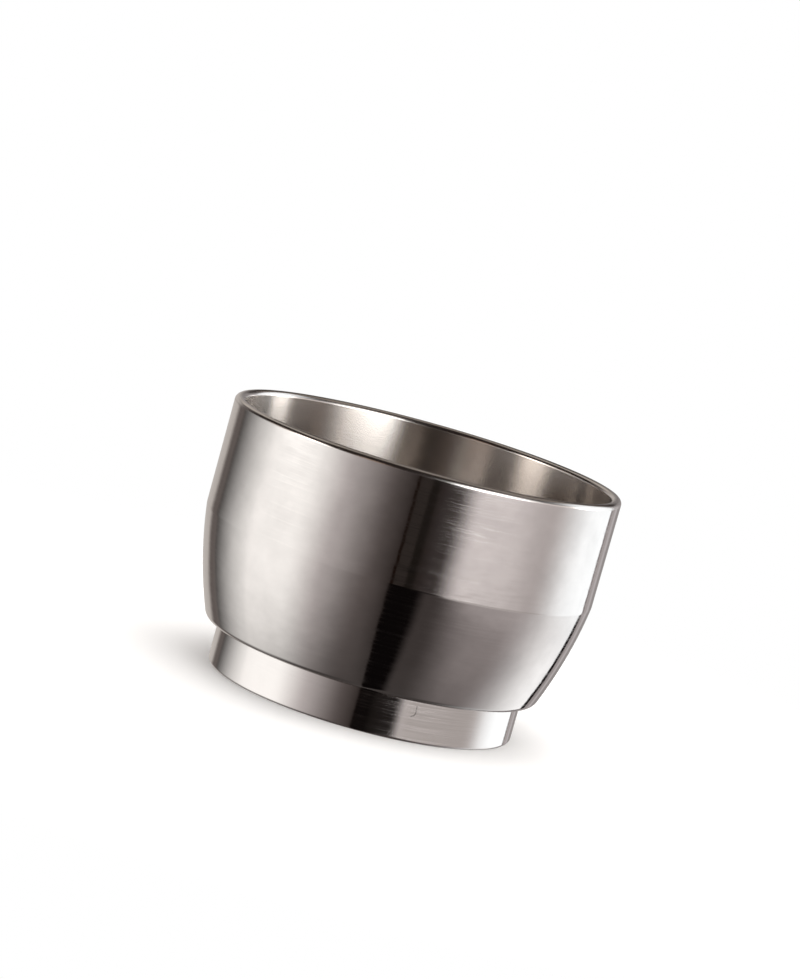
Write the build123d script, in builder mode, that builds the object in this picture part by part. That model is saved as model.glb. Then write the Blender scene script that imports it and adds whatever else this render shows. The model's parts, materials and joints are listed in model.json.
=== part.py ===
from build123d import *

import os

# Bean hopper, turned from one piece of stainless steel and open from end to end.
# It is a solid of revolution about Z that stands on the foot of its spigot at Z = 0.
# From the lip down: a straight band, a crease, a bowl that draws in, a flat shoulder, a spigot.

# Outside sizes, in millimetres and degrees
rim_diameter = 76.0  # straight band at the mouth
total_height = 50.5  # foot of the spigot to the lip
band_height = 21.3  # lip down to the crease
crease_angle = 7.0  # lean of the bowl's wall just under the crease
shoulder_width = 2.65  # flat ledge around the spigot, to the bowl's sharp corner
spigot_diameter = 60.0
spigot_length = 8.2  # foot up to the shoulder

# Walls
band_wall = 2.0
spigot_wall = 2.0
bowl_lead = 1.8  # the inside starts to draw in this far above the crease

# Edges
lip_break = 0.6  # bevel on both edges of the lip
foot_break = 0.5  # bevel on both edges of the foot
base_round = 1.5  # radius of the corner between the bowl and the shoulder

# Radii and heights that follow from those sizes
rim_radius = rim_diameter / 2
mouth_radius = rim_radius - band_wall
spigot_radius = spigot_diameter / 2
throat_radius = spigot_radius - spigot_wall
base_radius = spigot_radius + shoulder_width
crease_height = total_height - band_height
bowl_top = crease_height + bowl_lead

# Directions of travel down the wall in the profile's plane
straight_down = (0, -1)
down_from_crease = Vector(0, -1).rotate(Axis.Z, -crease_angle)

# Two bevels share a wall, so each takes under half of it, and the round stays on its ledge
bevel_share = 0.45
lip_bevel = min(lip_break, bevel_share * band_wall)
foot_bevel = min(foot_break, bevel_share * spigot_wall)
base_fillet = min(base_round, shoulder_width)


with BuildPart() as hopper:
    # Half section, in the plane of X (distance from the axis) and Z (height)
    with BuildSketch(Plane.XZ) as section:
        with BuildLine():
            # Outside, from the lip down: band, bowl, shoulder, spigot
            band = Line((rim_radius, total_height), (rim_radius, crease_height))
            bowl = TangentArc(band @ 1, (base_radius, spigot_length), tangent=down_from_crease)
            shoulder = Line(bowl @ 1, (spigot_radius, spigot_length))
            spigot = Line(shoulder @ 1, (spigot_radius, 0))
            foot = Line(spigot @ 1, (throat_radius, 0))
            # Inside, from the foot up: throat, funnel, mouth, and the lip across the wall
            throat = Line(foot @ 1, (throat_radius, spigot_length))
            mouth = Line((mouth_radius, bowl_top), (mouth_radius, total_height))
            TangentArc(mouth @ 0, throat @ 1, tangent=straight_down)
            lip = Line(mouth @ 1, band @ 0)
        make_face()
        # Edges of the lip and the foot are bevelled, and the bowl's lower corner is rounded
        for corner in (lip @ 0, lip @ 1):
            chamfer(section.vertices().sort_by_distance(corner)[0], lip_bevel)
        for corner in (foot @ 0, foot @ 1):
            chamfer(section.vertices().sort_by_distance(corner)[0], foot_bevel)
        fillet(section.vertices().sort_by_distance(bowl @ 1)[0], base_fillet)
    revolve(axis=Axis.Z)

hopper.part.label = "hopper"

os.makedirs("parts", exist_ok=True)
export_step(hopper.part, "parts/hopper.step")
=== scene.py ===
"""Looks of a turned stainless steel bean hopper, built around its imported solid.

The frame is the solid's own: metres, Z along the axis of the turned form, and the foot of the
spigot at Z = 0. The camera stands on the -Y side, so +X is to the right of the picture.
Sizes that a maker would read off a drawing are given in millimetres, in names that end in _mm.
"""

import json
import logging
import math
from dataclasses import dataclass, field
from enum import Enum

import bpy
import numpy as np
from mathutils import Matrix, Vector

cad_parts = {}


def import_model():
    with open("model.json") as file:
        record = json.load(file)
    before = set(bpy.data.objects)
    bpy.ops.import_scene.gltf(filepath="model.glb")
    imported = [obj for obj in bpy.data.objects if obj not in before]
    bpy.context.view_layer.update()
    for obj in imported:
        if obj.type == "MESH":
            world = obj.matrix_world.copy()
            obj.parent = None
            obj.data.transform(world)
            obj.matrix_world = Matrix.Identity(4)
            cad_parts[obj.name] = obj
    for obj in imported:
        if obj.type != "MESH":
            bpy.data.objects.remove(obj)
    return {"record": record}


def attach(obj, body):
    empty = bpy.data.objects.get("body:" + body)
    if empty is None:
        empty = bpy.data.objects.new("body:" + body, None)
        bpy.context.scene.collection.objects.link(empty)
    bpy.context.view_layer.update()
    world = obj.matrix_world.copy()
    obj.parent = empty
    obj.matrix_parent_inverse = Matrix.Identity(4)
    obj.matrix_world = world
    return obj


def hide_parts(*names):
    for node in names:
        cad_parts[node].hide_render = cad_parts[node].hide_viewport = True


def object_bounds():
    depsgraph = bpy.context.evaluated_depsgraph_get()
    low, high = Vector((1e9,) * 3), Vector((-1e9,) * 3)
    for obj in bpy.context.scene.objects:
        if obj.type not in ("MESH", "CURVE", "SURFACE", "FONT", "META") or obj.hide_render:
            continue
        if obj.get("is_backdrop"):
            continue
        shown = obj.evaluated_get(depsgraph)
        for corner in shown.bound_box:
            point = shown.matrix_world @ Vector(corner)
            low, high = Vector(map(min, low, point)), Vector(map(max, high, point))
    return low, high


MM = 0.001
UV_MAP = "OFBake"
WHITE = (1.0, 1.0, 1.0, 1.0)
RING_NOISE_LOW = 0.38
RING_NOISE_HIGH = 0.66
RINGS_AROUND_AXIS = 0.25

Colour = tuple[float, float, float]
Spot = tuple[float, float]
Socket = bpy.types.NodeSocket
Feed = bpy.types.NodeSocket | float | tuple

log = logging.getLogger("bean_hopper")


class Wiring:
    """Adds nodes to one node tree and joins their sockets."""

    def __init__(self, tree: bpy.types.NodeTree) -> None:
        """Starts on an emptied tree."""
        self.tree = tree
        tree.nodes.clear()

    def feed(self, socket: Socket, value: Feed) -> None:
        """Joins a socket to another, or sets its own value.

        Args:
            socket: the input.
            value: an output socket, or a plain number, vector or colour.
        """
        if isinstance(value, bpy.types.NodeSocket):
            self.tree.links.new(value, socket)
        else:
            socket.default_value = value

    def node(
        self, kind: str, inputs: dict[str | int, Feed] | None = None, **settings: object
    ) -> bpy.types.Node:
        """Adds one node.

        Args:
            kind: the node's class, less its leading "ShaderNode".
            inputs: what goes into each input, by the socket's name or number.
            settings: the node's own properties.

        Returns:
            The new node.
        """
        made = self.tree.nodes.new("ShaderNode" + kind)
        for name, value in settings.items():
            setattr(made, name, value)
        for key, value in (inputs or {}).items():
            self.feed(made.inputs[key], value)
        return made

    def math(self, operation: str, *values: Feed, clamp: bool = False) -> Socket:
        """Adds one sum of plain numbers.

        Args:
            operation: Blender's name for the operation.
            values: its operands, in order.
            clamp: whether the result is held between nought and one.

        Returns:
            The result's socket.
        """
        inputs = dict(enumerate(values))
        return self.node("Math", inputs, operation=operation, use_clamp=clamp).outputs[0]

    def vector(self, operation: str, *values: Feed) -> Socket:
        """Adds one sum of vectors.

        Args:
            operation: Blender's name for the operation.
            values: its operands, in order.

        Returns:
            The socket of the vector, or of the number where the operation gives one.
        """
        made = self.node("VectorMath", dict(enumerate(values)), operation=operation)
        return next(out for out in made.outputs if out.enabled)

    def scaled(self, vector: Feed, factor: Feed) -> Socket:
        """Adds a vector times a number, and gives the result's socket."""
        inputs = {0: vector, "Scale": factor}
        return self.node("VectorMath", inputs, operation="SCALE").outputs[0]

    def ramp(
        self, value: Feed, start: Feed, end: Feed, low: Feed = 0.0, high: Feed = 1.0
    ) -> Socket:
        """Adds a smooth step from low to high as a value goes from start to end.

        Args:
            value: what the step follows.
            start: where the step begins.
            end: where it is done.
            low: result before the start.
            high: result after the end.

        Returns:
            The result's socket.
        """
        inputs = {0: value, 1: start, 2: end, 3: low, 4: high}
        return self.node("MapRange", inputs, interpolation_type="SMOOTHSTEP").outputs[0]

    def mix_colours(self, share: Feed, first: Feed, second: Feed) -> Socket:
        """Adds a mix of two colours.

        Args:
            share: how much of the second colour there is, from nought to one.
            first: the colour at a share of nought.
            second: the colour at a share of one.

        Returns:
            The mixed colour's socket.
        """
        made = self.node("Mix", {0: share, 6: first, 7: second}, data_type="RGBA")
        return made.outputs[2]


def opaque(colour: Colour) -> tuple[float, float, float, float]:
    """The colour with a full alpha, as a colour socket takes it."""
    return (*colour, 1.0)


def shaded(colour: Colour, factor: float) -> Colour:
    """The colour made lighter or darker by a factor."""
    return tuple(part * factor for part in colour)


class Zone(Enum):
    """Stretches of the turned section that leave the lathe with a finish of their own."""

    OUTSIDE = 0
    LIP = 1
    INSIDE = 2
    SPIGOT = 3


@dataclass(frozen=True)
class TurnedMarksAndSheenClouds:
    """The node group of the marks that turning and polishing leave, and of painted sheen clouds,
    shared by all finishes.

    Attributes:
        section_mm: length of the whole section's outline, which the map's V runs along.
        ring_drift: how often the fine rings change on the way round.
        streak_drift: how often the broad streaks change on the way round.
        sheen_clouds_per_m: how close the painted sheen clouds are, soft patches of lighter and
            darker colour that stand in for an uneven reflected softbox.
    """

    section_mm: float
    ring_drift: float = 1.2
    streak_drift: float = 7.0
    sheen_clouds_per_m: float = 210.0
    name: str = "turned marks and sheen clouds"

    def group(self) -> bpy.types.NodeTree:
        """Builds the group.

        Rings and streaks are noise that is read at (cosine of the azimuth, sine of the azimuth)
        times their drift, and at the way along the section times their number. So it changes fast
        along the section and slowly round the axis, where it closes on itself.

        Returns:
            The node group, with inputs for how close rings and streaks are, and outputs from
            nought to one for the rings, the streaks and the painted sheen clouds.
        """
        tree = bpy.data.node_groups.new(self.name, "ShaderNodeTree")
        for label in ("Rings per mm", "Streaks per mm"):
            tree.interface.new_socket(label, in_out="INPUT", socket_type="NodeSocketFloat")
        for label in ("Rings", "Streaks", "Sheen clouds"):
            tree.interface.new_socket(label, in_out="OUTPUT", socket_type="NodeSocketFloat")
        w = Wiring(tree)
        given = tree.nodes.new("NodeGroupInput").outputs
        result = tree.nodes.new("NodeGroupOutput").inputs
        way = w.node("SeparateXYZ", {0: w.node("UVMap", uv_map=UV_MAP).outputs[0]}).outputs[1]
        way_mm = w.math("MULTIPLY", way, self.section_mm)
        place = w.node("TexCoord").outputs["Object"]
        radial = w.vector("NORMALIZE", w.vector("MULTIPLY", place, (1.0, 1.0, 0.0)))
        for label, drift, detail in (
            ("Rings", self.ring_drift, 3.0),
            ("Streaks", self.streak_drift, 1.0),
        ):
            rise = w.node("CombineXYZ", {2: w.math("MULTIPLY", way_mm, given[label + " per mm"])})
            spot = w.vector("ADD", w.scaled(radial, drift), rise.outputs[0])
            noise = w.node("TexNoise", {"Vector": spot, "Scale": 1.0, "Detail": detail})
            w.feed(result[label], noise.outputs[0])
        # Painted sheen clouds: soft noise that lightens and darkens the colour, standing in for an
        # uneven softbox in the reflection
        sheen_clouds = w.node("TexNoise", {"Vector": place, "Scale": self.sheen_clouds_per_m, "Detail": 2.0})
        w.feed(result["Sheen clouds"], sheen_clouds.outputs[0])
        return tree


@dataclass(frozen=True)
class Scratch:
    """A short scratch on a round wall, given on the wall as if it were rolled out flat.

    Attributes:
        radius_mm: of the wall.
        strokes_mm: both ends of each straight stroke, as way round from the front and height.
        width_mm: from the middle of a stroke to where it fades out.
        colour: of the bare bottom of the scratch.
        roughness: how much rougher the scratch is than the wall.
    """

    radius_mm: float
    strokes_mm: tuple[tuple[Spot, Spot], ...]
    width_mm: float
    colour: Colour
    roughness: float

    def mask(self, w: Wiring) -> Socket:
        """Works out where the scratch is, from the distance to the nearest stroke.

        The nearest point of a stroke is its start plus the stroke times a share, which is
        (point - start) . stroke / stroke . stroke, held between nought and one.

        Args:
            w: the material's wiring.

        Returns:
            One in the middle of a stroke, falling to nought beside it.
        """
        x, y, z = w.node("SeparateXYZ", {0: w.node("TexCoord").outputs["Object"]}).outputs
        azimuth = w.math("ARCTAN2", x, w.math("MULTIPLY", y, -1.0))
        way_round = w.math("MULTIPLY", azimuth, self.radius_mm)
        spot = w.node("CombineXYZ", {0: way_round, 1: w.math("DIVIDE", z, MM)}).outputs[0]
        nearest: Feed = self.radius_mm
        for start, end in self.strokes_mm:
            stroke = (end[0] - start[0], end[1] - start[1], 0.0)
            from_start = w.vector("SUBTRACT", spot, (*start, 0.0))
            ahead = w.vector("DOT_PRODUCT", from_start, stroke)
            share = w.math("DIVIDE", ahead, float(np.dot(stroke, stroke)), clamp=True)
            aside = w.vector("LENGTH", w.vector("SUBTRACT", from_start, w.scaled(stroke, share)))
            nearest = w.math("MINIMUM", nearest, aside)
        return w.ramp(nearest, 0.0, self.width_mm, 1.0, 0.0)


@dataclass(frozen=True)
class SteelFinish:
    """One finish of bare stainless steel.

    Attributes:
        name: the material's name.
        colour: reflectance looked at squarely.
        roughness: between the rings.
        ring_roughness: how much rougher the rings are.
        anisotropy: how far the rings stretch a reflection across themselves.
        rings_per_mm: how close the fine rings are.
        ring_depth_mm: height of the fine rings.
        streaks_per_mm: how close the broad streaks are.
        streak_depth_mm: height of the broad streaks.
        ring_tone: how far the colour varies from ring to ring, as a share of it.
        sheen_cloud_tone: how far the colour varies with the painted sheen clouds, which stand in for
            an uneven reflected softbox, as a share of it.
        scratch: a scratch in it, if it has one.
    """

    name: str
    colour: Colour
    roughness: float
    ring_roughness: float
    anisotropy: float
    rings_per_mm: float
    ring_depth_mm: float
    streaks_per_mm: float
    streak_depth_mm: float
    ring_tone: float
    sheen_cloud_tone: float
    scratch: Scratch | None = None

    def material(self, lines: bpy.types.NodeTree) -> bpy.types.Material:
        """Builds the material.

        Args:
            lines: the shared group of turned marks and painted sheen clouds.

        Returns:
            A metal whose colour, roughness and normal follow the marks in it, with painted sheen
            clouds in its colour as well.
        """
        made = bpy.data.materials.new(self.name)
        made.use_nodes = True
        w = Wiring(made.node_tree)
        marks = w.node("Group", node_tree=lines)
        marks.inputs["Rings per mm"].default_value = self.rings_per_mm
        marks.inputs["Streaks per mm"].default_value = self.streaks_per_mm
        rings, streaks, sheen_clouds = (marks.outputs[n] for n in ("Rings", "Streaks", "Sheen clouds"))
        # The colour follows the rings, and also painted sheen clouds that stand in for unevenness in
        # the reflected light
        spread = self.ring_tone + self.sheen_cloud_tone
        tone = w.math("MULTIPLY", sheen_clouds, self.sheen_cloud_tone / spread)
        tone = w.math("MULTIPLY_ADD", rings, self.ring_tone / spread, tone)
        darker = opaque(shaded(self.colour, 1.0 - spread))
        lighter = opaque(shaded(self.colour, 1.0 + spread))
        colour = w.mix_colours(tone, darker, lighter)
        roughest = self.roughness + self.ring_roughness
        rough = w.ramp(rings, RING_NOISE_LOW, RING_NOISE_HIGH, self.roughness, roughest)
        if self.scratch:
            cut = self.scratch.mask(w)
            colour = w.mix_colours(cut, colour, opaque(self.scratch.colour))
            rough = w.math("MULTIPLY_ADD", cut, self.scratch.roughness, rough)
        height = w.math("MULTIPLY", streaks, self.streak_depth_mm * MM)
        height = w.math("MULTIPLY_ADD", rings, self.ring_depth_mm * MM, height)
        bump = w.node("Bump", {"Strength": 1.0, "Distance": 1.0, "Height": height})
        shader = w.node(
            "BsdfPrincipled",
            {
                "Base Color": colour,
                "Metallic": 1.0,
                "Roughness": rough,
                "Anisotropic": self.anisotropy,
                "Anisotropic Rotation": RINGS_AROUND_AXIS,
                "Normal": bump.outputs[0],
            },
        )
        w.feed(w.node("OutputMaterial").inputs["Surface"], shader.outputs[0])
        return made


STEEL: Colour = (0.66, 0.63, 0.61)

# The one scratch that the hopper has picked up, a small hook on the front of the spigot
SPIGOT_HOOK = Scratch(
    radius_mm=30.0,
    strokes_mm=(
        ((10.86, 6.95), (10.93, 6.45)),
        ((10.95, 6.20), (10.99, 5.55)),
        ((10.99, 5.55), (10.72, 5.18)),
        ((10.72, 5.18), (10.30, 5.00)),
    ),
    width_mm=0.22,
    colour=(0.2, 0.185, 0.175),
    roughness=0.1,
)

FINISHES: dict[Zone, SteelFinish] = {
    Zone.OUTSIDE: SteelFinish(
        name="polished_steel",
        colour=STEEL,
        roughness=0.035,
        ring_roughness=0.095,
        anisotropy=0.5,
        rings_per_mm=4.0,
        ring_depth_mm=0.0004,
        streaks_per_mm=0.5,
        streak_depth_mm=0.02,
        ring_tone=0.02,
        # Painted sheen clouds: the polished outside's colour is lightened and darkened in soft
        # patches, standing in for an uneven reflected softbox
        sheen_cloud_tone=0.11,
    ),
    Zone.LIP: SteelFinish(
        name="lip_steel",
        colour=STEEL,
        roughness=0.18,
        ring_roughness=0.08,
        anisotropy=0.3,
        rings_per_mm=6.0,
        ring_depth_mm=0.0004,
        streaks_per_mm=1.7,
        streak_depth_mm=0.0,
        ring_tone=0.02,
        sheen_cloud_tone=0.02,
    ),
    Zone.INSIDE: SteelFinish(
        name="satin_steel",
        colour=(0.64, 0.60, 0.565),
        roughness=0.235,
        ring_roughness=0.03,
        anisotropy=1.0,
        rings_per_mm=7.0,
        ring_depth_mm=0.0004,
        streaks_per_mm=1.4,
        streak_depth_mm=0.003,
        ring_tone=0.04,
        sheen_cloud_tone=0.03,
    ),
    Zone.SPIGOT: SteelFinish(
        name="spigot_steel",
        # Painted highlight: the spigot is the same steel as the rest, given a lighter colour so that
        # its reflections come out brighter
        colour=(0.72, 0.69, 0.67),
        roughness=0.05,
        ring_roughness=0.07,
        anisotropy=0.6,
        rings_per_mm=6.0,
        ring_depth_mm=0.0008,
        streaks_per_mm=1.2,
        streak_depth_mm=0.008,
        ring_tone=0.03,
        sheen_cloud_tone=0.04,
        scratch=SPIGOT_HOOK,
    ),
}


@dataclass(frozen=True)
class Run:
    """One stretch of the section, from the end of the run before it to a corner of its own.

    Attributes:
        end: the corner, as radius + height * 1j.
        turn: how far the direction turns along the run, in radians; nought if it is straight.
        soft: radius that rounds the corner off.
        zone: the finish it takes.
        steps: cells of the grid along it.
    """

    end: complex
    turn: float
    soft: float
    zone: Zone
    steps: int


def arc(start: complex, end: complex, turn: float, steps: int) -> np.ndarray:
    """Points along an arc, or along a straight line where the turn is nought.

    The chord from the start to the point at share s is sin(s * turn / 2) / sin(turn / 2) of the
    whole chord, turned back by (1 - s) * turn / 2. Shares bunch up towards both ends by a cosine.

    Args:
        start: first point.
        end: point after the last one.
        turn: how far the direction turns from the start to the end, in radians.
        steps: number of points, the end left out.

    Returns:
        The points, as complex numbers.
    """
    share = (1.0 - np.cos(np.pi * np.arange(steps) / steps)) / 2.0
    half = turn / 2.0
    reach = share * np.sinc(half * share / np.pi) / np.sinc(half / np.pi)
    return start + (end - start) * reach * np.exp(1j * half * (share - 1.0))


def cell_corners(rows: int, columns: int) -> tuple[np.ndarray, np.ndarray]:
    """Rows and columns of the four corners of each cell of a grid, in order round the cell.

    Args:
        rows: cells down the grid.
        columns: cells across it.

    Returns:
        Two arrays of rows * columns * 4 numbers, one for the rows and one for the columns.
    """
    row, column = np.meshgrid(np.arange(rows), np.arange(columns), indexing="ij")
    return row[..., None] + np.array([0, 1, 1, 0]), column[..., None] + np.array([0, 0, 1, 1])


@dataclass
class HopperShell:
    """The hopper's one turned shell, lip to foot, outside and inside.

    Attributes:
        rim_radius: outside of the band.
        height: foot to lip.
        mouth_radius: inside of the band.
        spigot_radius: outside of the spigot.
    """

    rim_radius: float
    height: float
    mouth_radius: float
    spigot_radius: float
    band_mm: float = 21.3
    crease_lean_deg: float = 7.0
    shoulder_mm: float = 2.65
    spigot_mm: float = 8.2
    spigot_wall_mm: float = 2.0
    bowl_lead_mm: float = 1.8
    lip_out_round_mm: float = 0.95
    lip_in_round_mm: float = 0.95
    crease_round_mm: float = 3.0
    base_round_mm: float = 1.5
    step_round_mm: float = 0.25
    foot_round_mm: float = 0.5
    throat_round_mm: float = 0.8
    round_steps: int = 8
    columns: int = 480
    name: str = "hopper_shell"
    finishes: dict[Zone, SteelFinish] = field(default_factory=lambda: dict(FINISHES))

    def runs(self) -> list[Run]:
        """Lays out the section from the lip's outer corner down, across the foot and up inside.

        Returns:
            The runs in order; the last one ends where the first begins.
        """
        crease = self.height - self.band_mm * MM
        step = self.spigot_mm * MM
        base_radius = self.spigot_radius + self.shoulder_mm * MM
        throat = self.spigot_radius - self.spigot_wall_mm * MM
        funnel_top = crease + self.bowl_lead_mm * MM
        rim = self.rim_radius + 1j * crease
        base = base_radius + 1j * step
        down = -1j * np.exp(-1j * math.radians(self.crease_lean_deg))
        bowl_turn = 2.0 * float(np.angle((base - rim) / down))
        funnel = self.mouth_radius + 1j * funnel_top - (throat + 1j * step)
        funnel_turn = 2.0 * float(np.angle(1j / funnel))
        mouth = self.mouth_radius + 1j * funnel_top
        lip_in = self.mouth_radius + 1j * self.height
        lip_out = self.rim_radius + 1j * self.height
        spigot_top = self.spigot_radius + 1j * step
        spigot_foot = self.spigot_radius + 0j
        return [
            Run(rim, 0.0, self.crease_round_mm * MM, Zone.OUTSIDE, steps=20),
            Run(base, bowl_turn, self.base_round_mm * MM, Zone.OUTSIDE, steps=28),
            Run(spigot_top, 0.0, self.step_round_mm * MM, Zone.SPIGOT, steps=8),
            Run(spigot_foot, 0.0, self.foot_round_mm * MM, Zone.SPIGOT, steps=12),
            Run(throat + 0j, 0.0, self.foot_round_mm * MM, Zone.SPIGOT, steps=6),
            Run(throat + 1j * step, 0.0, self.throat_round_mm * MM, Zone.INSIDE, steps=12),
            Run(mouth, funnel_turn, 0.0, Zone.INSIDE, steps=28),
            Run(lip_in, 0.0, self.lip_in_round_mm * MM, Zone.INSIDE, steps=20),
            Run(lip_out, 0.0, self.lip_out_round_mm * MM, Zone.LIP, steps=8),
        ]

    def section(self) -> tuple[np.ndarray, np.ndarray]:
        """Joins the runs into one closed outline with its corners rounded.

        A round of radius q at a corner that turns by t starts and ends q * tan(t / 2) from it.

        Returns:
            The outline's points as complex numbers, and the zone of the stretch after each.
        """
        runs = self.runs()
        starts = [runs[-1].end] + [run.end for run in runs[:-1]]
        chords = [run.end - start for run, start in zip(runs, starts)]
        heads = [np.exp(1j * (np.angle(c) - r.turn / 2.0)) for c, r in zip(chords, runs)]
        tails = [np.exp(1j * (np.angle(c) + r.turn / 2.0)) for c, r in zip(chords, runs)]
        bends = [float(np.angle(heads[(i + 1) % len(runs)] / tails[i])) for i in range(len(runs))]
        trims = [run.soft * abs(math.tan(bend / 2.0)) for run, bend in zip(runs, bends)]
        points: list[np.ndarray] = []
        zones: list[np.ndarray] = []
        for i, run in enumerate(runs):
            first = starts[i] + heads[i] * trims[i - 1]
            last = run.end - tails[i] * trims[i]
            left = 1.0 - (trims[i - 1] + trims[i]) / abs(chords[i])
            points.append(arc(first, last, run.turn * left, run.steps))
            zones.append(np.full(run.steps, run.zone.value))
            if trims[i] > 0.0:
                after = runs[(i + 1) % len(runs)]
                away = run.end + heads[(i + 1) % len(runs)] * trims[i]
                points.append(arc(last, away, bends[i], self.round_steps))
                zone = run.zone if Zone.LIP not in (run.zone, after.zone) else Zone.LIP
                zones.append(np.full(self.round_steps, zone.value))
        return np.concatenate(points), np.concatenate(zones)

    def build(self) -> bpy.types.Object:
        """Turns the section about Z into a closed shell with smooth normals and a map.

        The point at azimuth a is (r * cos a, r * sin a, z) for each (r, z) of the section. The
        map's U is the azimuth as a share of a turn, and its V the way along the section.

        Returns:
            The new object.
        """
        outline, zones = self.section()
        rows = len(outline)
        azimuth = np.linspace(0.0, 2.0 * np.pi, self.columns, endpoint=False)
        places = np.empty((rows, self.columns, 3))
        places[..., 0] = np.outer(outline.real, np.cos(azimuth))
        places[..., 1] = np.outer(outline.real, np.sin(azimuth))
        places[..., 2] = outline.imag[:, None]
        rows_of, columns_of = cell_corners(rows, self.columns)
        faces = (rows_of % rows) * self.columns + columns_of % self.columns
        mesh = bpy.data.meshes.new(self.name)
        mesh.from_pydata(places.reshape(-1, 3), [], faces.reshape(-1, 4))
        mesh.polygons.foreach_set("material_index", np.repeat(zones, self.columns).astype(np.int32))
        mesh.polygons.foreach_set("use_smooth", np.ones(rows * self.columns, bool))
        way = np.concatenate([[0.0], np.cumsum(np.abs(np.diff(outline, append=outline[0])))])
        corners = np.stack([columns_of / self.columns, way[rows_of] / way[-1]], axis=-1)
        layer = mesh.uv_layers.new(name=UV_MAP)
        layer.data.foreach_set("uv", corners.astype(np.float32).ravel())
        mesh.update()
        shell = bpy.data.objects.new(self.name, mesh)
        bpy.context.scene.collection.objects.link(shell)
        return shell

    def dress(self, shell: bpy.types.Object) -> None:
        """Gives each zone of the shell its finish.

        Args:
            shell: the object that build() made.
        """
        outline, _ = self.section()
        length = float(np.abs(np.diff(outline, append=outline[0])).sum())
        lines = TurnedMarksAndSheenClouds(length / MM).group()
        for zone in Zone:
            shell.data.materials.append(self.finishes[zone].material(lines))


@dataclass(frozen=True)
class Span:
    """A stretch of angles in degrees whose two ends fade.

    Attributes:
        start: middle of the fade at its lower end.
        end: middle of the fade at its upper end.
        start_soft: width of the fade at its lower end.
        end_soft: width of the fade at its upper end.
    """

    start: float
    end: float
    start_soft: float = 6.0
    end_soft: float = 6.0


@dataclass(frozen=True)
class Panel:
    """One panel of the studio, as the hopper sees it.

    Attributes:
        name: what it is.
        light: its colour and strength.
        azimuth: its reach round the hopper, from the camera's side, to the right positive.
        elevation: its reach above and below the horizon.
        lean: how many degrees it goes to the right with each degree up from the horizon.
    """

    name: str
    light: Colour
    azimuth: Span
    elevation: Span
    lean: float = 0.0

    def mask(self, w: Wiring, azimuth: Socket, elevation: Socket) -> Socket:
        """Works out where the panel covers what is behind it.

        Args:
            w: the world's wiring.
            azimuth: azimuth looked at, in radians.
            elevation: elevation looked at, in radians.

        Returns:
            One on the panel, nought off it, and a smooth step across each edge.
        """
        middle = (self.azimuth.start + self.azimuth.end) / 2.0
        upright = w.math("MULTIPLY_ADD", elevation, -self.lean, azimuth)
        turned = w.math("SUBTRACT", upright, math.radians(middle))
        aside = w.math("WRAP", turned, math.pi, -math.pi)
        whole: Feed = 1.0
        for angle, zero, span in ((aside, middle, self.azimuth), (elevation, 0.0, self.elevation)):
            for edge, soft in ((span.start, span.start_soft), (span.end, -span.end_soft)):
                first = math.radians(edge - zero - soft / 2.0)
                last = math.radians(edge - zero + soft / 2.0)
                whole = w.math("MULTIPLY", whole, w.ramp(angle, first, last))
        return whole


TO_NADIR = -130.0
ALL_ROUND = Span(-180.0, 180.0, 0.1, 0.1)
BACKDROP_LEVEL = Span(TO_NADIR, 12.5, 1.0, 4.0)
BELOW_EYE = Span(TO_NADIR, 8.0, 1.0, 8.0)
BAND_LEVEL = Span(-17.0, 20.0, 12.0, 8.0)
SOFTBOX_LEAN = 0.2


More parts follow.
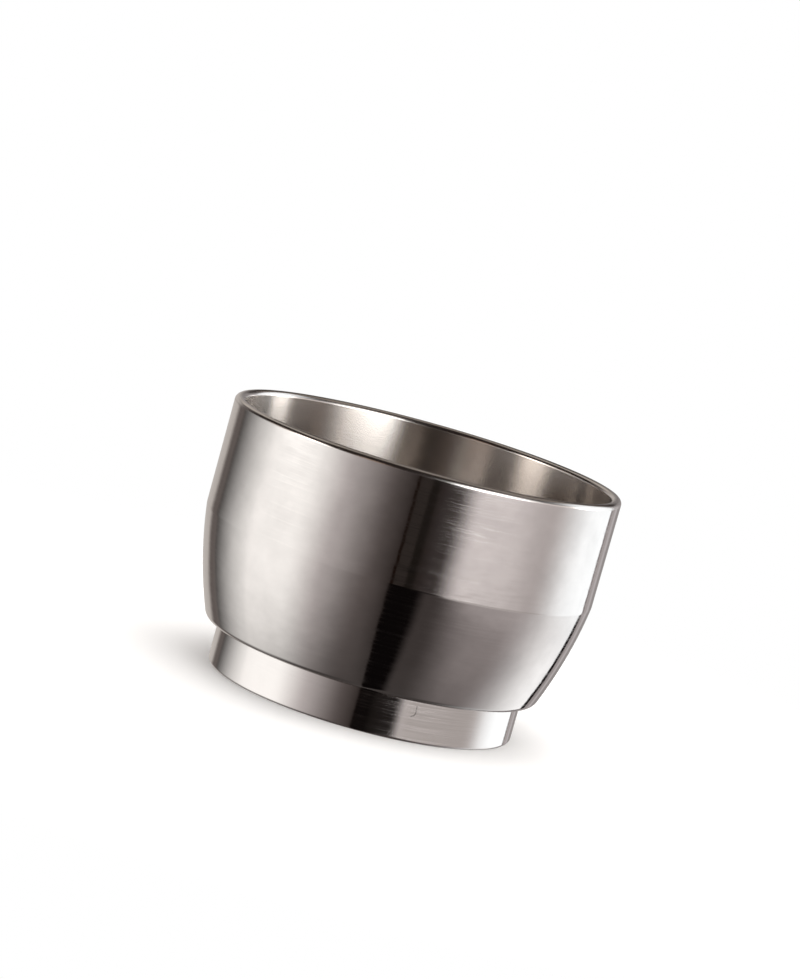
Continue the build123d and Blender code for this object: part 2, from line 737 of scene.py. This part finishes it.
@dataclass
class Studio:
    """The light around the hopper: soft panels on a dark wall, and a white ground behind it all.

    Attributes:
        wall: what shows between the panels.
        panels: the panels, each painted over those before it.
    """

    wall: Colour = (0.02, 0.014, 0.012)
    panels: tuple[Panel, ...] = (
        Panel("backdrop, left part", (0.58, 0.54, 0.51),
              Span(180.0, 220.0, 20.0, 10.0), BACKDROP_LEVEL),
        Panel("backdrop, right part", (0.33, 0.305, 0.30),
              Span(143.0, 180.0, 6.0, 20.0), BACKDROP_LEVEL),
        Panel("light strip on the backdrop", (0.56, 0.525, 0.53),
              Span(150.0, 158.5, 4.0, 4.0), Span(TO_NADIR, 6.0, 1.0, 6.0)),
        Panel("ceiling at the back", (0.36, 0.32, 0.285),
              Span(85.0, 275.0, 20.0, 20.0), Span(48.0, 130.0, 10.0, 1.0)),
        Panel("high backdrop on the left", (0.60, 0.55, 0.50),
              Span(169.0, 195.0, 20.0, 10.0), Span(14.0, 60.0, 8.0, 8.0), 0.95),
        Panel("high backdrop on the right", (0.24, 0.205, 0.18),
              Span(118.0, 164.0, 10.0, 16.0), Span(22.0, 60.0, 8.0, 8.0)),
        Panel("tail of the left softbox", (0.157, 0.134, 0.13),
              Span(-70.0, -8.0, 6.0, 30.0), BELOW_EYE),
        Panel("dim edge of the left softbox", (0.70, 0.655, 0.65),
              Span(-95.0, -28.6, 6.0, 40.0), BELOW_EYE, SOFTBOX_LEAN),
        Panel("left softbox", (1.34, 1.33, 1.31),
              Span(-111.2, -49.8, 60.0, 28.0), BELOW_EYE, SOFTBOX_LEAN),
        Panel("brighter top of the left softbox", (1.6, 1.6, 1.58),
              Span(-88.0, -62.0, 16.0, 16.0), Span(-7.3, 8.0, 1.6, 6.0)),
        Panel("hot middle of the left softbox", (4.8, 4.4, 4.05),
              Span(-79.0, -60.0, 18.0, 14.0), Span(-2.0, 17.0, 4.0, 8.0)),
        Panel("tail of the grey card", (0.06, 0.05, 0.048),
              Span(16.0, 60.0, 16.0, 6.0), BELOW_EYE),
        Panel("grey card, lower part", (0.34, 0.305, 0.305),
              Span(38.0, 150.0, 36.0, 6.0), Span(TO_NADIR, 20.0, 1.0, 8.0), -SOFTBOX_LEAN),
        Panel("upper edge of the grey card's lower part", (0.45, 0.41, 0.41),
              Span(44.0, 150.0, 30.0, 6.0), Span(-25.5, -8.0, 7.0, 8.0)),
        Panel("right softbox, lower part", (1.32, 1.34, 1.36),
              Span(107.0, 145.0, 60.0, 3.0), Span(TO_NADIR, -8.0, 1.0, 8.0)),
        Panel("grey card, upper part", (0.575, 0.53, 0.525),
              Span(50.0, 150.0, 20.0, 6.0), BAND_LEVEL),
        Panel("lit edge of the grey card", (0.875, 0.82, 0.82),
              Span(32.0, 72.0, 18.0, 40.0), Span(-17.0, 12.0, 12.0, 8.0)),
        Panel("right softbox, upper part", (1.40, 1.46, 1.50),
              Span(103.0, 145.0, 40.0, 3.0), Span(-17.0, 40.0, 12.0, 8.0)),
        Panel("foot of the grey card", (0.49, 0.455, 0.44),
              Span(33.0, 96.0, 14.0, 24.0), Span(-15.0, -10.5, 3.0, 1.2)),
        Panel("dark table", (0.07, 0.062, 0.06),
              ALL_ROUND, Span(TO_NADIR, -46.0, 1.0, 48.0)),
        Panel("gap that the camera looks through", (0.036, 0.029, 0.026),
              Span(-0.8, 12.0, 1.0, 12.0), Span(TO_NADIR, 12.0, 1.0, 8.0)),
        Panel("slit on the left of the gap", (0.013, 0.007, 0.005),
              Span(-0.8, 0.9, 0.8, 0.8), Span(TO_NADIR, 12.0, 1.0, 8.0)),
        Panel("slit on the right of the gap", (0.015, 0.012, 0.010),
              Span(7.4, 12.0, 2.0, 3.0), Span(TO_NADIR, 12.0, 1.0, 8.0)),
        Panel("dark foot of the gap", (0.004, 0.003, 0.003),
              Span(-1.0, 19.0, 3.0, 8.0), Span(TO_NADIR, -10.4, 1.0, 1.2)),
        Panel("dark foot of the grey card", (0.012, 0.01, 0.009),
              Span(10.0, 30.0, 6.0, 10.0), Span(-16.0, -10.5, 4.0, 1.2)),
        Panel("high softbox over the camera's right", (1.5, 1.45, 1.4),
              Span(24.0, 68.0, 14.0, 40.0), Span(12.0, 40.0, 6.0, 24.0)),
        Panel("hot middle of the high softbox", (8.6, 8.6, 8.55),
              Span(24.0, 55.0, 16.0, 40.0), Span(-2.0, 18.0, 6.0, 8.0)),
        Panel("hot strip far right", (7.6, 7.5, 7.35),
              Span(104.0, 122.0, 14.0, 10.0), Span(1.0, 17.0, 6.0, 8.0)),
        Panel("dim card between the two on the right", (0.9, 0.82, 0.78),
              Span(78.0, 104.0, 16.0, 10.0), Span(0.0, 17.0, 6.0, 8.0)),
        Panel("dim card far left", (0.55, 0.44, 0.38),
              Span(-104.0, -84.0, 6.0, 10.0), Span(8.0, 17.0, 6.0, 8.0)),
        Panel("warm strip on the left", (0.42, 0.31, 0.25),
              Span(-38.0, -22.0, 8.0, 10.0), Span(1.0, 24.0, 6.0, 12.0)),
        Panel("dark edge of the right softbox", (0.30, 0.27, 0.27),
              Span(144.6, 148.0, 1.5, 3.0), Span(TO_NADIR, 30.0, 1.0, 8.0)),
        Panel("dark edge of the right softbox, lower part", (0.012, 0.01, 0.01),
              Span(143.2, 148.5, 1.5, 2.0), Span(TO_NADIR, -13.0, 1.0, 3.0)),
        Panel("dark edge of the left softbox", (0.155, 0.133, 0.125),
              Span(-146.0, -133.6, 10.0, 8.0), Span(TO_NADIR, 30.0, 1.0, 8.0), 0.15),
    )

    def build(self) -> bpy.types.World:
        """Paints the panels on the world, which is plain white to the camera itself.

        Returns:
            The new world.
        """
        world = bpy.data.worlds.new("studio")
        world.use_nodes = True
        bpy.context.scene.world = world
        w = Wiring(world.node_tree)
        x, y, z = w.node("SeparateXYZ", {0: w.node("TexCoord").outputs["Generated"]}).outputs
        azimuth = w.math("ARCTAN2", x, w.math("MULTIPLY", y, -1.0))
        elevation = w.math("ARCSINE", z)
        light: Feed = opaque(self.wall)
        for panel in self.panels:
            cover = panel.mask(w, azimuth, elevation)
            light = w.mix_colours(cover, light, opaque(panel.light))
        lit = w.node("Background", {"Color": light})
        white = w.node("Background", {"Color": WHITE})
        path = w.node("LightPath").outputs
        straight = w.math("MAXIMUM", path["Is Camera Ray"], path["Is Transmission Ray"])
        seen = w.node("MixShader", {0: straight, 1: lit.outputs[0], 2: white.outputs[0]})
        w.feed(w.node("OutputWorld").inputs["Surface"], seen.outputs[0])
        return world


@dataclass
class OverheadLamp:
    """The broad lamp over the floor, which the steel doesn't show."""

    width: float = 1.4
    height: float = 0.9
    power: float = 16.0
    name: str = "overhead_lamp"

    def build(self) -> bpy.types.Object:
        """Hangs the lamp over the hopper, facing down.

        Returns:
            The lamp's object.
        """
        data = bpy.data.lights.new(self.name, "AREA")
        data.shape = "DISK"
        data.size = self.width
        data.energy = self.power
        lamp = bpy.data.objects.new(self.name, data)
        lamp.location = (0.0, 0.0, self.height)
        lamp.visible_glossy = False
        bpy.context.scene.collection.objects.link(lamp)
        return lamp


@dataclass
class Floor:
    """The pale floor that the hopper stands on, which fades out into the white ground.

    Attributes:
        reach: half its width.
        cells: cells of its grid along each side.
        pale: its colour.
        lift: share of plain white that the camera sees in it.
        fade_from: distance from the axis at which it starts to fade.
        fade_to: distance at which it is gone.
    """

    reach: float = 0.6
    cells: int = 24
    pale: Colour = (0.9, 0.89, 0.88)
    lift: float = 0.1
    fade_from: float = 0.06
    fade_to: float = 0.16
    name: str = "floor"

    def build(self) -> bpy.types.Object:
        """Makes a flat grid in the plane Z = 0, and marks it as no part of the object.

        Returns:
            The floor's object.
        """
        points = self.cells + 1
        side = np.linspace(-self.reach, self.reach, points)
        places = np.zeros((points, points, 3))
        places[..., 0] = side[None, :]
        places[..., 1] = side[:, None]
        rows_of, columns_of = cell_corners(self.cells, self.cells)
        faces = (rows_of * points + columns_of)[..., ::-1]
        mesh = bpy.data.meshes.new(self.name)
        mesh.from_pydata(places.reshape(-1, 3), [], faces.reshape(-1, 4))
        mesh.materials.append(self.material())
        mesh.update()
        floor = bpy.data.objects.new(self.name, mesh)
        bpy.context.scene.collection.objects.link(floor)
        floor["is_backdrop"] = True
        return floor

    def material(self) -> bpy.types.Material:
        """Builds the floor's material: matt, a little lifted for the eye, clear further out.

        It is clear from below too, and to what the steel reflects.

        Returns:
            The material.
        """
        made = bpy.data.materials.new("pale_floor")
        made.use_nodes = True
        w = Wiring(made.node_tree)
        path = w.node("LightPath").outputs
        straight = w.math("MAXIMUM", path["Is Camera Ray"], path["Is Transmission Ray"])
        matt = w.node("BsdfDiffuse", {"Color": opaque(self.pale)})
        glow = w.node("Emission", {"Color": WHITE, "Strength": 1.0})
        lift = w.math("MULTIPLY", straight, self.lift)
        surface = w.node("MixShader", {0: lift, 1: matt.outputs[0], 2: glow.outputs[0]})
        away = w.vector("LENGTH", w.node("TexCoord").outputs["Object"])
        fade = w.ramp(away, self.fade_from, self.fade_to)
        behind = w.node("NewGeometry").outputs["Backfacing"]
        to_eye = w.math("MULTIPLY", w.math("MAXIMUM", fade, behind), straight)
        gone = w.math("MAXIMUM", to_eye, path["Is Glossy Ray"])
        clear = w.node("BsdfTransparent")
        whole = w.node("MixShader", {0: gone, 1: surface.outputs[0], 2: clear.outputs[0]})
        w.feed(w.node("OutputMaterial").inputs["Surface"], whole.outputs[0])
        return made


@dataclass
class ViewCamera:
    """The camera, fitted to the hopper's edges in the picture that it follows.

    Attributes:
        target: middle of the hopper's axis.
        frame_px: width and height of the picture.
        focal_px: focal length, in pixels of the picture.
        distance_mm: from the camera to the target.
        elevation_deg: how far above the horizon the camera stands.
        roll_deg: how far the hopper leans to the right in the picture.
        middle_px: where the target falls in the picture, from its upper left corner.
    """

    target: Vector
    frame_px: tuple[int, int] = (800, 979)
    focal_px: float = 3200.0
    distance_mm: float = 611.4
    elevation_deg: float = 9.4
    roll_deg: float = 15.64
    middle_px: Spot = (394.3, 572.0)

    def build(self) -> bpy.types.Object:
        """Places the camera in front of the hopper, rolls it, and turns it to frame the target.

        Returns:
            The camera's object.
        """
        data = bpy.data.cameras.new("view")
        data.lens = self.focal_px * data.sensor_width / max(self.frame_px)
        data.clip_start = 0.01
        data.clip_end = 20.0
        rise = math.radians(self.elevation_deg)
        back = Vector((0.0, -math.cos(rise), math.sin(rise)))
        right = Vector((1.0, 0.0, 0.0))
        level = Matrix((right, back.cross(right), back)).transposed()
        across = (self.middle_px[0] - self.frame_px[0] / 2.0) / self.focal_px
        down = (self.middle_px[1] - self.frame_px[1] / 2.0) / self.focal_px
        ahead = Vector((0.0, 0.0, -1.0))
        offset = Vector((across, -down, -1.0)).rotation_difference(ahead)
        rolled = level @ Matrix.Rotation(math.radians(self.roll_deg), 3, "Z")
        turned = (rolled @ offset.to_matrix()).to_4x4()
        camera = bpy.data.objects.new("view", data)
        camera.matrix_world = Matrix.Translation(self.target + back * self.distance_mm * MM) @ turned
        bpy.context.scene.collection.objects.link(camera)
        bpy.context.scene.camera = camera
        return camera


def mount_radius(record: dict, name: str) -> float:
    """Radius of one of the record's mounts.

    Args:
        record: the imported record.
        name: the mount's name.

    Returns:
        Its radius in metres.
    """
    found = next(mount for mount in record["mounts"] if mount["name"] == name)
    return found["dims"]["r_mm"] * MM


def main() -> None:
    """Loads the frame, then builds the shell, the floor, the light and the camera."""
    logging.basicConfig(level=logging.INFO, format="%(name)s: %(message)s")
    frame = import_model()
    solid_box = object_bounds()
    low, high = solid_box
    record = frame["record"]
    shell_maker = HopperShell(
        rim_radius=(high.x - low.x) / 2.0,
        height=high.z - low.z,
        mouth_radius=mount_radius(record, "mouth"),
        spigot_radius=mount_radius(record, "spigot"),
    )
    shell = shell_maker.build()
    shell_maker.dress(shell)
    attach(shell, "root")
    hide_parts("hopper")
    log.info("%s: %d faces", shell.name, len(shell.data.polygons))
    floor = Floor().build()
    log.info("%s: stage", floor.name)
    studio = Studio()
    studio.build()
    lamp = OverheadLamp().build()
    log.info("studio: %d panels and %s", len(studio.panels), lamp.name)
    camera = ViewCamera(target=Vector((0.0, 0.0, (high.z - low.z) / 2.0))).build()
    log.info("%s: lens %.1f mm", camera.name, camera.data.lens)
    bpy.context.scene.view_settings.view_transform = "Standard"


if __name__ == "__main__":
    main()
